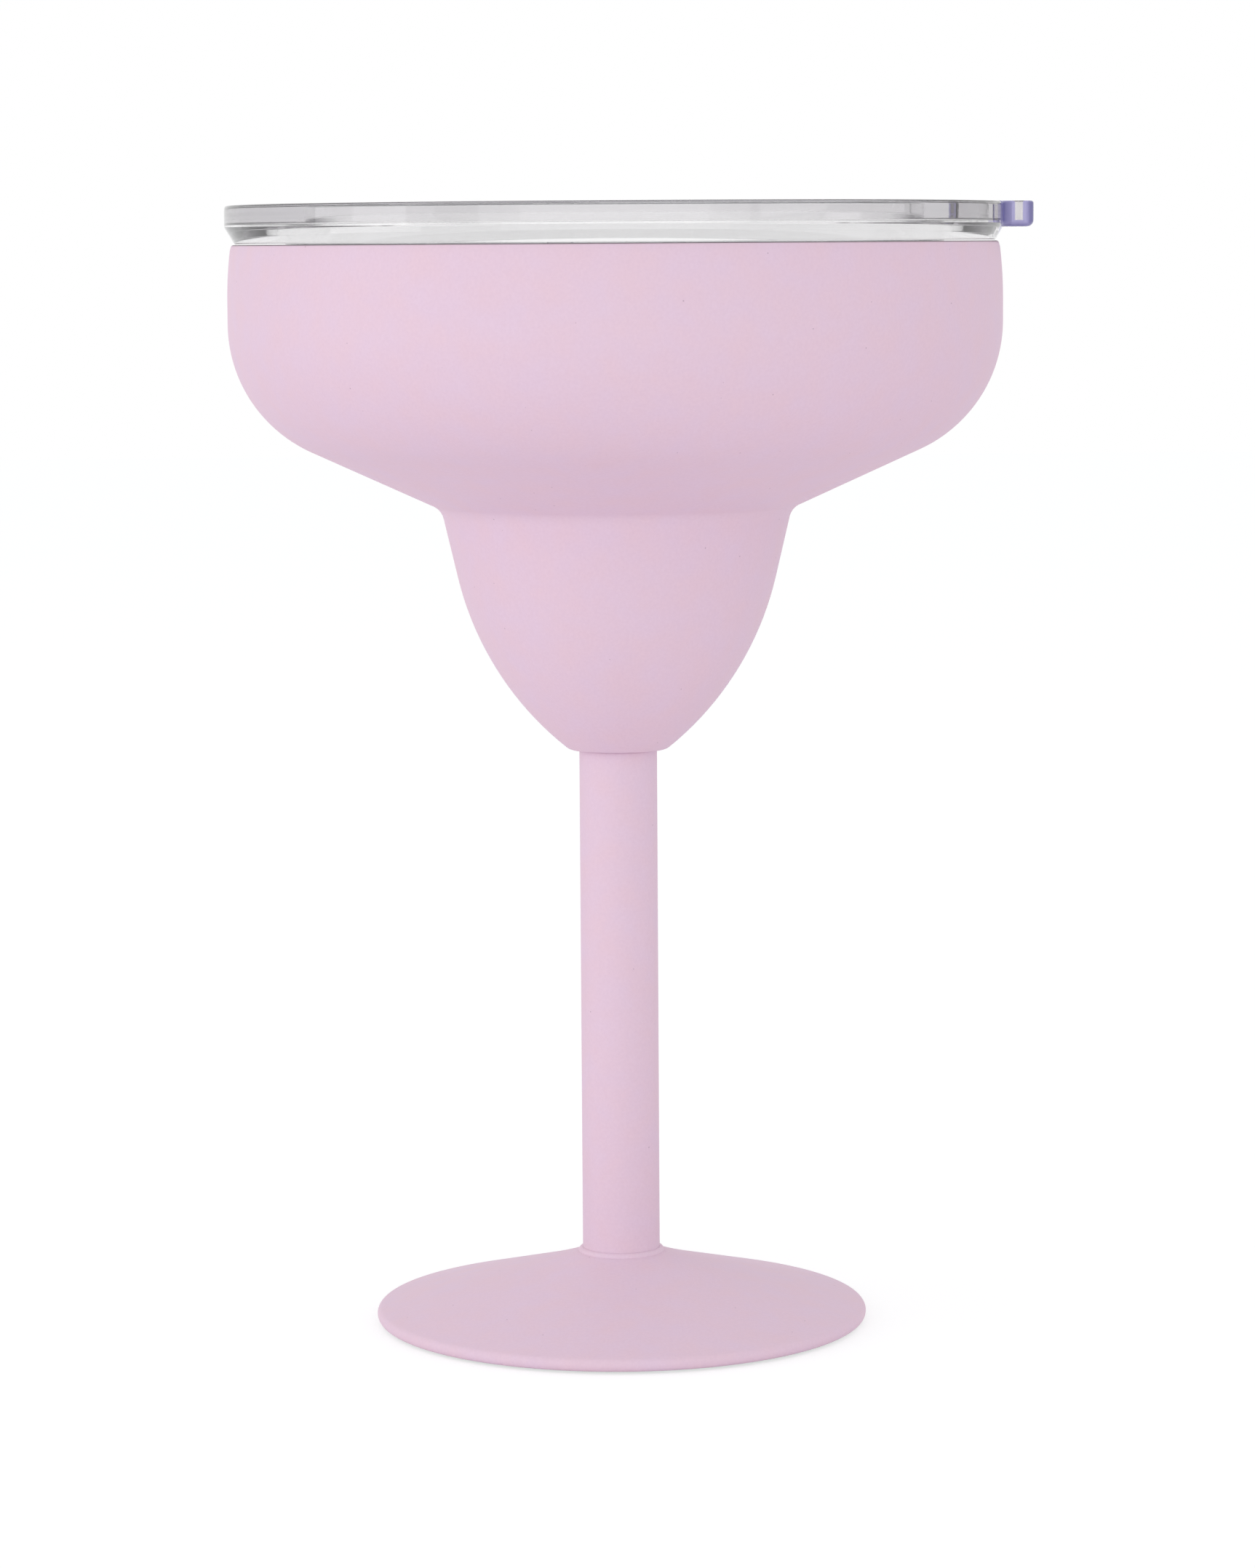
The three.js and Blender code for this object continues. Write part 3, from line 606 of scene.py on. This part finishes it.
def make_gasket():
    inner = plug_radius + GASKET_GAP
    body = inner + GASKET_BODY_WIDTH
    quarter = (gasket_top - gasket_under) / 4
    corners = [(inner, gasket_under, GASKET_EDGE), (body, gasket_under, GASKET_EDGE)]
    for height in (gasket_under + quarter, gasket_under + 3 * quarter):
        corners += [
            (body, height - GASKET_FIN / 2, GASKET_EDGE),
            (gasket_radius, height, GASKET_EDGE),
            (gasket_radius, height + GASKET_FIN / 2, GASKET_EDGE),
            (body, height + GASKET_FIN / 2, GASKET_EDGE),
        ]
    corners += [(body, gasket_top, GASKET_EDGE), (inner, gasket_top, GASKET_EDGE)]
    return turned("silicone_gasket", rounded(corners))


def slider_plan(grow):
    """Plan of the slider's plate: its front follows the dish wall, its back is rounded."""
    end_radius = dish_floor_radius - DISH_FILLET - SLIDE_GAP
    side = slider_high.y
    back_corner = side / 2
    back_x = slider_high.x - back_corner
    front_y = side - SLIDER_FRONT_CORNER
    front_x = -math.sqrt((end_radius - SLIDER_FRONT_CORNER) ** 2 - front_y ** 2)
    turn = math.degrees(math.atan2(front_y, front_x))
    front = front_x + SLIDER_TRAVEL
    return [
        *arc((back_x, -side + back_corner), back_corner + grow, -90, 0, EDGE_ARC_STEP / 2),
        *arc((back_x, side - back_corner), back_corner + grow, 0, 90, EDGE_ARC_STEP / 2),
        *arc((front, front_y), SLIDER_FRONT_CORNER + grow, 90, turn, EDGE_ARC_STEP),
        *arc((SLIDER_TRAVEL, 0), end_radius + grow, turn, 360 - turn, ARC_STEP)[1:-1],
        *arc((front, -front_y), SLIDER_FRONT_CORNER + grow, -turn, -90, EDGE_ARC_STEP),
    ]


neck_x = (keeper_low.x + keeper_high.x) / 2


def make_slider():
    plate_bottom = dish_floor + SLIDE_GAP
    plate_top_height = plate_bottom + SLIDER_THICKNESS
    middle = plate_bottom + SLIDER_THICKNESS / 2
    grip_x = slider_high.x - GRIP_SETBACK - GRIP_LENGTH / 2
    grip_width = 2 * (slider_high.y - GRIP_SETBACK)
    grip_plan = rounded_rectangle(grip_x, GRIP_LENGTH, grip_width, GRIP_LENGTH / 3)
    neck_plan = rounded_rectangle(neck_x, NECK_LENGTH, NECK_WIDTH, NECK_WIDTH / 4)
    plate = soft_edged(slider_plan, plate_bottom, plate_top_height, SLIDER_EDGE, SLIDER_EDGE)
    slider = stacked("clear_slider", plate)
    grip = stacked("slider_grip", soft_edged(grip_plan, middle, slider_high.z, SLIDER_EDGE, GRIP_EDGE))
    neck = stacked("slider_neck", soft_edged(neck_plan, slider_low.z, middle, KEEPER_EDGE, KEEPER_EDGE))
    joined(slider, grip, "UNION")
    joined(slider, neck, "UNION")
    return slider


def make_keeper():
    length = keeper_high.x - keeper_low.x
    width = keeper_high.y - keeper_low.y
    plan = rounded_rectangle(neck_x, length, width, width / 4)
    socket_length = NECK_LENGTH + 2 * SEAT_GAP
    socket_width = NECK_WIDTH + 2 * SEAT_GAP
    socket = rounded_rectangle(neck_x, socket_length, socket_width, NECK_WIDTH / 4)
    heights_and_edges = (keeper_low.z, keeper_high.z, KEEPER_EDGE, KEEPER_EDGE)
    hole = soft_edged(lambda grow: socket(-grow), *heights_and_edges)
    return stacked("clear_keeper", soft_edged(plan, *heights_and_edges), hole)


# Materials
def linear(hex_colour):
    """An sRGB hex colour as linear light."""
    parts = [int(hex_colour[start:start + 2], 16) / 255 for start in (1, 3, 5)]
    return [p / 12.92 if p <= 0.04045 else ((p + 0.055) / 1.055) ** 2.4 for p in parts] + [1.0]


def add(tree, kind, settings=None, **sockets):
    """Add a node; settings are its properties, sockets take values or the sockets that feed them.

    A socket is given by its name, or by its number after an underscore where names repeat.
    """
    made = tree.nodes.new(kind)
    for name, value in (settings or {}).items():
        setattr(made, name, value)
    for name, value in sockets.items():
        socket = made.inputs[int(name[1:])] if name[0] == "_" else made.inputs[name.replace("_", " ")]
        if isinstance(value, bpy.types.NodeSocket):
            tree.links.new(value, socket)
        else:
            socket.default_value = value
    return made


def new_material(name):
    """A material with an empty node tree and its output."""
    material = bpy.data.materials.new(name)
    material.use_nodes = True
    material.node_tree.nodes.clear()
    return material, material.node_tree, add(material.node_tree, "ShaderNodeOutputMaterial")


def per_grain(size_mm):
    """Texture scale at which one grain has this size."""
    return 1 / (size_mm * MM)


def pink_powder_coat():
    """Epoxy-polyester powder baked on steel: matt and faintly pebbled, rose and lilac in turn, with
    stray dark grains of pigment; the pebble's hollows are darkened as painted shade. The lip's top
    edge is ground down to the steel, painted dark plum-grey as painted shade for the gap under the lid."""
    material, tree, output = new_material("pink_powder_coated_steel")
    place = add(tree, "ShaderNodeTexCoord").outputs["Object"]
    cloud = add(tree, "ShaderNodeTexNoise", Vector=place, Scale=per_grain(5.0), Detail=3.0)
    pebble = add(tree, "ShaderNodeTexNoise", Vector=place, Scale=per_grain(0.45), Detail=3.0)
    tone = add(tree, "ShaderNodeMapRange", Value=cloud.outputs["Fac"], From_Min=0.3, From_Max=0.7)
    colour = add(
        tree, "ShaderNodeMix", {"data_type": "RGBA"},
        _0=tone.outputs["Result"], _6=linear("#e4ccd8"), _7=linear("#e2cddd"),
    )
    # Painted shade: the pebble's hollows, the low points of the bump below, are mixed towards a darker
    # rose
    hollow = add(
        tree, "ShaderNodeMapRange", Value=pebble.outputs["Fac"], From_Min=0.3, From_Max=0.7,
        To_Min=0.2, To_Max=0.0,
    )
    pebbled = add(
        tree, "ShaderNodeMix", {"data_type": "RGBA"},
        _0=hollow.outputs["Result"], _6=colour.outputs[2], _7=linear("#d2b7c9"),
    )
    grains = add(tree, "ShaderNodeTexVoronoi", Vector=place, Scale=per_grain(3.5))
    speck = add(
        tree, "ShaderNodeMapRange", Value=grains.outputs["Distance"], From_Min=0.02, From_Max=0.04,
        To_Min=0.5, To_Max=0.0,
    )
    specked = add(
        tree, "ShaderNodeMix", {"data_type": "RGBA"},
        _0=speck.outputs["Result"], _6=pebbled.outputs[2], _7=linear("#8a6f86"),
    )
    # Painted shade: the lip's ground steel band takes a dark plum-grey, standing in for the shaded gap
    # under the lid
    height = add(tree, "ShaderNodeSeparateXYZ", Vector=place)
    bare_shaded_lip = add(
        tree, "ShaderNodeMath", {"operation": "GREATER_THAN"},
        _0=height.outputs["Z"], _1=(rim_height - BARE_SHADED_LIP_HEIGHT) * MM,
    )
    coat_with_shaded_lip = add(
        tree, "ShaderNodeMix", {"data_type": "RGBA"},
        _0=bare_shaded_lip.outputs["Value"], _6=specked.outputs[2], _7=linear("#9c8f95"),
    )
    gloss = add(tree, "ShaderNodeMapRange", Value=pebble.outputs["Fac"], To_Min=0.5, To_Max=0.68)
    bump = add(tree, "ShaderNodeBump", Strength=0.12, Distance=0.02 * MM, Height=pebble.outputs["Fac"])
    coat = add(
        tree, "ShaderNodeBsdfPrincipled", Base_Color=coat_with_shaded_lip.outputs[2], Metallic=bare_shaded_lip.outputs["Value"],
        Roughness=gloss.outputs["Result"], Normal=bump.outputs["Normal"],
    )
    tree.links.new(coat.outputs["BSDF"], output.inputs["Surface"])
    return material


def axis_radius(tree, axes):
    """Distance from the glass's axis, from a position split into its axes."""
    flat = add(tree, "ShaderNodeCombineXYZ", X=axes.outputs["X"], Y=axes.outputs["Y"])
    radius = add(tree, "ShaderNodeVectorMath", {"operation": "LENGTH"}, _0=flat.outputs["Vector"])
    return radius.outputs["Value"]


def brushed_steel(name, light, dark, roughness):
    """Stainless steel brushed on a lathe: rings round the axis over a soft shine. Real brush marks are
    finer than these, which are drawn as coarse as they need to show."""
    material, tree, output = new_material(name)
    place = add(tree, "ShaderNodeTexCoord").outputs["Object"]
    axes = add(tree, "ShaderNodeSeparateXYZ", Vector=place)
    lathe = add(tree, "ShaderNodeCombineXYZ", X=axis_radius(tree, axes), Y=axes.outputs["Z"])
    rings = add(
        tree, "ShaderNodeTexNoise", Vector=lathe.outputs["Vector"], Scale=per_grain(0.35), Detail=5.0,
    )
    cloud = add(tree, "ShaderNodeTexNoise", Vector=place, Scale=per_grain(12.0), Detail=2.0)
    colour = add(
        tree, "ShaderNodeMix", {"data_type": "RGBA"},
        _0=cloud.outputs["Fac"], _6=linear(dark), _7=linear(light),
    )
    gloss = add(
        tree, "ShaderNodeMapRange", Value=rings.outputs["Fac"], From_Min=0.25, From_Max=0.75,
        To_Min=roughness - 0.07, To_Max=roughness + 0.09,
    )
    bump = add(tree, "ShaderNodeBump", Strength=0.1, Distance=0.01 * MM, Height=rings.outputs["Fac"])
    metal = add(
        tree, "ShaderNodeBsdfPrincipled", Base_Color=colour.outputs[2], Metallic=1.0,
        Roughness=gloss.outputs["Result"], Normal=bump.outputs["Normal"],
    )
    tree.links.new(metal.outputs["BSDF"], output.inputs["Surface"])
    return material


def tab_painted_glow(tree):
    """How far a side turns from the front, where the tab's outside takes its painted glow by it, and
    where the tab is.
    """
    coordinates = add(tree, "ShaderNodeTexCoord")
    place = add(tree, "ShaderNodeSeparateXYZ", Vector=coordinates.outputs["Object"])
    facing = add(tree, "ShaderNodeSeparateXYZ", Vector=coordinates.outputs["Normal"])
    sideways = add(tree, "ShaderNodeMath", {"operation": "ABSOLUTE"}, _0=facing.outputs["X"])
    down = add(tree, "ShaderNodeMath", {"operation": "MULTIPLY"}, _0=facing.outputs["Z"], _1=-1.0)
    turn = add(
        tree, "ShaderNodeMath", {"operation": "MAXIMUM"},
        _0=sideways.outputs["Value"], _1=down.outputs["Value"],
    ).outputs["Value"]
    bent = add(
        tree, "ShaderNodeMapRange", {"interpolation_type": "SMOOTHSTEP"},
        Value=turn, From_Min=0.03, From_Max=0.12,
    )
    curved = add(
        tree, "ShaderNodeMapRange", {"interpolation_type": "SMOOTHSTEP"},
        Value=turn, From_Min=0.97, From_Max=0.995, To_Min=1.0, To_Max=0.0,
    )
    tab = add(
        tree, "ShaderNodeMath", {"operation": "GREATER_THAN"},
        _0=place.outputs["X"], _1=(lid_radius - TAB_PAINTED_GLOW_DEPTH) * MM,
    )
    inside = add(tree, "ShaderNodeNewGeometry").outputs["Backfacing"]
    outside = add(tree, "ShaderNodeMath", {"operation": "SUBTRACT"}, _0=tab.outputs["Value"], _1=inside)
    painted_glow = add(
        tree, "ShaderNodeMath", {"operation": "MULTIPLY"},
        _0=bent.outputs["Result"], _1=curved.outputs["Result"],
    )
    share = add(
        tree, "ShaderNodeMath", {"operation": "MULTIPLY", "use_clamp": True},
        _0=painted_glow.outputs["Value"], _1=outside.outputs["Value"],
    )
    return turn, share.outputs["Value"], tab.outputs["Value"]


def lid_edge_painted_shade(tree):
    """One on the rounded outer edge of the lid's top, where a dark line is painted as painted shade."""
    coordinates = add(tree, "ShaderNodeTexCoord")
    place = add(tree, "ShaderNodeSeparateXYZ", Vector=coordinates.outputs["Object"])
    facing = add(tree, "ShaderNodeSeparateXYZ", Vector=coordinates.outputs["Normal"])
    high = add(
        tree, "ShaderNodeMath", {"operation": "GREATER_THAN"},
        _0=place.outputs["Z"], _1=(lid_top - FLANGE_TOP_CORNER) * MM,
    )
    outer = add(
        tree, "ShaderNodeMath", {"operation": "GREATER_THAN"},
        _0=axis_radius(tree, place), _1=(lid_radius - FLANGE_TOP_CORNER) * MM,
    )
    corner = add(
        tree, "ShaderNodeMath", {"operation": "MULTIPLY"},
        _0=high.outputs["Value"], _1=outer.outputs["Value"],
    )
    rise = add(
        tree, "ShaderNodeMapRange", {"interpolation_type": "SMOOTHSTEP"},
        Value=facing.outputs["Z"], From_Min=0.45, From_Max=0.75,
    )
    share = add(
        tree, "ShaderNodeMath", {"operation": "MULTIPLY"},
        _0=corner.outputs["Value"], _1=rise.outputs["Result"],
    )
    return share.outputs["Value"]


def clear_copolyester():
    """Injection-moulded copolyester: clear and glossy, greyer the deeper the eye looks into it, with
    painted shade as a dark line on its top edge, and a painted violet glow where the tab's bends
    gather light."""
    material, tree, output = new_material("clear_copolyester")
    place = add(tree, "ShaderNodeTexCoord").outputs["Object"]
    flow = add(tree, "ShaderNodeTexNoise", Vector=place, Scale=per_grain(6.0), Detail=2.0)
    gloss = add(tree, "ShaderNodeMapRange", Value=flow.outputs["Fac"], To_Min=0.01, To_Max=0.045)
    turn, painted_glow, tab = tab_painted_glow(tree)
    # Painted light: the tab's bends are coloured violet, deeper the more they turn, standing in for
    # light they gather
    painted_glow_tone = add(tree, "ShaderNodeMapRange", Value=turn, From_Min=0.3, From_Max=0.85)
    violet = add(
        tree, "ShaderNodeMix", {"data_type": "RGBA"},
        _0=painted_glow_tone.outputs["Result"], _6=linear("#a9a7d8"), _7=linear("#7472b2"),
    )
    # Painted shade: a dark grey line on the lid's rounded top edge, where the face slopes up at a given
    # angle
    painted_edge_shade = add(
        tree, "ShaderNodeMix", {"data_type": "RGBA"},
        _0=lid_edge_painted_shade(tree), _6=linear("#fefefe"), _7=linear("#8f8b93"),
    )
    colour = add(
        tree, "ShaderNodeMix", {"data_type": "RGBA"}, _0=painted_glow, _6=painted_edge_shade.outputs[2], _7=violet.outputs[2],
    )
    # Where the painted glow lies, and over the whole tab, the plastic is made less clear so the painted
    # colour shows
    bend_clear = add(tree, "ShaderNodeMapRange", Value=painted_glow, To_Min=1.0, To_Max=0.35)
    tab_clear = add(tree, "ShaderNodeMapRange", Value=tab, To_Min=1.0, To_Max=0.75)
    clear = add(
        tree, "ShaderNodeMath", {"operation": "MULTIPLY"},
        _0=bend_clear.outputs["Result"], _1=tab_clear.outputs["Result"],
    )
    plastic = add(
        tree, "ShaderNodeBsdfPrincipled", Base_Color=colour.outputs[2],
        Roughness=gloss.outputs["Result"], IOR=1.55, Transmission_Weight=clear.outputs["Value"],
    )
    tone = add(tree, "ShaderNodeVolumeAbsorption", Color=linear("#aaa4ac"), Density=30.0)
    tree.links.new(plastic.outputs["BSDF"], output.inputs["Surface"])
    tree.links.new(tone.outputs["Volume"], output.inputs["Volume"])
    return material


def frosted_silicone():
    """Moulded silicone rubber: milky, soft and barely shiny."""
    material, tree, output = new_material("milky_silicone_rubber")
    place = add(tree, "ShaderNodeTexCoord").outputs["Object"]
    skin = add(tree, "ShaderNodeTexNoise", Vector=place, Scale=per_grain(1.2), Detail=3.0)
    colour = add(
        tree, "ShaderNodeMix", {"data_type": "RGBA"},
        _0=skin.outputs["Fac"], _6=linear("#dcdadf"), _7=linear("#eceaee"),
    )
    gloss = add(tree, "ShaderNodeMapRange", Value=skin.outputs["Fac"], To_Min=0.38, To_Max=0.52)
    bump = add(tree, "ShaderNodeBump", Strength=0.1, Distance=0.02 * MM, Height=skin.outputs["Fac"])
    rubber = add(
        tree, "ShaderNodeBsdfPrincipled", Base_Color=colour.outputs[2],
        Roughness=gloss.outputs["Result"], IOR=1.41, Transmission_Weight=0.45,
        Normal=bump.outputs["Normal"],
    )
    tree.links.new(rubber.outputs["BSDF"], output.inputs["Surface"])
    return material


def grey_rubber():
    """Sheet rubber for a non-slip pad: dull, evenly grained, a little dusty."""
    material, tree, output = new_material("grey_sheet_rubber")
    place = add(tree, "ShaderNodeTexCoord").outputs["Object"]
    grain = add(tree, "ShaderNodeTexNoise", Vector=place, Scale=per_grain(0.6), Detail=5.0)
    dust = add(tree, "ShaderNodeTexNoise", Vector=place, Scale=per_grain(8.0), Detail=3.0)
    colour = add(
        tree, "ShaderNodeMix", {"data_type": "RGBA"},
        _0=dust.outputs["Fac"], _6=linear("#aca7ab"), _7=linear("#c4bfc3"),
    )
    bump = add(tree, "ShaderNodeBump", Strength=0.25, Distance=0.05 * MM, Height=grain.outputs["Fac"])
    gloss = add(tree, "ShaderNodeMapRange", Value=grain.outputs["Fac"], To_Min=0.72, To_Max=0.9)
    rubber = add(
        tree, "ShaderNodeBsdfPrincipled", Base_Color=colour.outputs[2],
        Roughness=gloss.outputs["Result"], IOR=1.52, Normal=bump.outputs["Normal"],
    )
    tree.links.new(rubber.outputs["BSDF"], output.inputs["Surface"])
    return material


coat = pink_powder_coat()
steel = brushed_steel("brushed_stainless_steel", "#d3d4d6", "#c3c4c7", 0.3)
getter_metal = brushed_steel("sintered_getter_metal", "#98999d", "#84858a", 0.55)
plastic = clear_copolyester()
silicone = frosted_silicone()
rubber = grey_rubber()

fit(make_bowl_wall(), "outer_bowl", "glass", coat)
fit(make_liner(), "inner_liner", "glass", steel)
fit(make_stem(), "stem_tube", "glass", coat)
fit(make_weld_bead(), "stem_weld_bead", "glass", coat)
fit(make_foot(), "foot_shell", "glass", coat)
fit(make_base_plate(), "base_plate", "glass", steel)
fit(make_foot_pad(), "foot_pad", "glass", rubber)
fit(make_gasket(), "lid_gasket", "gasket", silicone)
fit(make_lid(), "lid_body", "lid", plastic)
fit(make_slider(), "lid_slider", "slider", plastic)
fit(make_keeper(), "slider_keeper", "slider", plastic)

# Sealed inner pieces keep their solids
for node, material in (
    ("vacuum_plug", steel), ("getter_capsule", getter_metal), ("bowl_stud", steel), ("stem_nut", steel),
):
    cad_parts[node].data.materials.clear()
    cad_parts[node].data.materials.append(material)


# Studio
FLOOR_HALF = 3.0
FLOOR_DROP = 0.05
FLOOR_GLOW = 0.5
FLOOR_GLOW_STRENGTH = 1.265
FLOOR_GLOW_TINT = "#f8fffb"
WORLD_LIGHT = 0.82
WORLD_TINT = "#fffafe"
LIGHT_BOUNCES = 32


def background_rays(tree):
    """One for the rays that show the white background: camera, glossy and transmission rays."""
    path = add(tree, "ShaderNodeLightPath")
    seen = add(
        tree, "ShaderNodeMath", {"operation": "MAXIMUM"},
        _0=path.outputs["Is Camera Ray"], _1=path.outputs["Is Glossy Ray"],
    )
    through = add(
        tree, "ShaderNodeMath", {"operation": "MAXIMUM"},
        _0=seen.outputs["Value"], _1=path.outputs["Is Transmission Ray"],
    )
    return through.outputs["Value"]


def make_floor():
    """A pale floor that is white to the eye and keeps the glass's shadow."""
    builder = bmesh.new()
    bmesh.ops.create_grid(builder, x_segments=1, y_segments=1, size=FLOOR_HALF)
    floor = to_object("floor", builder)
    floor.location.z = -FLOOR_DROP * MM
    material, tree, output = new_material("white_studio_paper")
    paper = add(tree, "ShaderNodeBsdfDiffuse", Color=linear("#fcf7fb"))
    glow = add(
        tree, "ShaderNodeEmission", Color=linear(FLOOR_GLOW_TINT), Strength=FLOOR_GLOW_STRENGTH,
    )
    share = add(
        tree, "ShaderNodeMath", {"operation": "MULTIPLY"}, _0=background_rays(tree), _1=FLOOR_GLOW,
    )
    mix = add(
        tree, "ShaderNodeMixShader", _0=share.outputs["Value"], _1=paper.outputs["BSDF"],
        _2=glow.outputs["Emission"],
    )
    tree.links.new(mix.outputs["Shader"], output.inputs["Surface"])
    floor.data.materials.append(material)


def make_world():
    """Even soft light all round, white where the background shows."""
    world = bpy.data.worlds.new("studio")
    world.use_nodes = True
    tree = world.node_tree
    tree.nodes.clear()
    soft = add(tree, "ShaderNodeBackground", Color=linear(WORLD_TINT), Strength=WORLD_LIGHT)
    white = add(tree, "ShaderNodeBackground", Color=linear("#ffffff"), Strength=1.0)
    mix = add(
        tree, "ShaderNodeMixShader", _0=background_rays(tree), _1=soft.outputs["Background"],
        _2=white.outputs["Background"],
    )
    output = add(tree, "ShaderNodeOutputWorld")
    tree.links.new(mix.outputs["Shader"], output.inputs["Surface"])
    bpy.context.scene.world = world


def make_soft_box(name, place, width, height, power):
    """A large soft light aimed at the middle of the glass."""
    data = bpy.data.lights.new(name, "AREA")
    data.shape = "RECTANGLE"
    data.size = width
    data.size_y = height
    data.energy = power
    lamp = bpy.data.objects.new(name, data)
    lamp.location = place
    lamp.visible_camera = False
    aim = Vector((0, 0, rim_height * MM / 2)) - lamp.location
    lamp.rotation_euler = aim.to_track_quat("-Z", "Y").to_euler()
    bpy.context.scene.collection.objects.link(lamp)


# Camera, level with the rim and looking a little down
PHOTO_HEIGHT = 2156
CAMERA_FOCAL_PIXELS = 6454
CAMERA_DISTANCE = 721.5
CAMERA_HEIGHT = 167.27
CAMERA_SIDE = 1.41
CAMERA_PITCH = 6.576
CAMERA_ROLL = 0.36


def make_camera():
    data = bpy.data.cameras.new("camera")
    data.sensor_width = 36.0
    data.lens = data.sensor_width * CAMERA_FOCAL_PIXELS / PHOTO_HEIGHT
    data.clip_start = 0.05
    data.clip_end = 20.0
    camera = bpy.data.objects.new("camera", data)
    upright = Matrix.Rotation(math.radians(90 - CAMERA_PITCH), 4, "X")
    roll = Matrix.Rotation(math.radians(-CAMERA_ROLL), 4, "Z")
    place = Matrix.Translation(Vector((CAMERA_SIDE, -CAMERA_DISTANCE, CAMERA_HEIGHT)) * MM)
    camera.matrix_world = place @ upright @ roll
    bpy.context.scene.collection.objects.link(camera)
    bpy.context.scene.camera = camera


make_floor()
make_world()
make_soft_box("front_soft_box", place=(0.0, -1.5, 0.25), width=2.4, height=1.0, power=5.4)
make_soft_box("left_soft_box", place=(-1.4, -0.3, 0.4), width=0.9, height=0.9, power=3.1)
make_camera()

scene = bpy.context.scene
scene.view_settings.view_transform = "Standard"
scene.cycles.max_bounces = LIGHT_BOUNCES
scene.cycles.transmission_bounces = LIGHT_BOUNCES
scene.cycles.glossy_bounces = LIGHT_BOUNCES
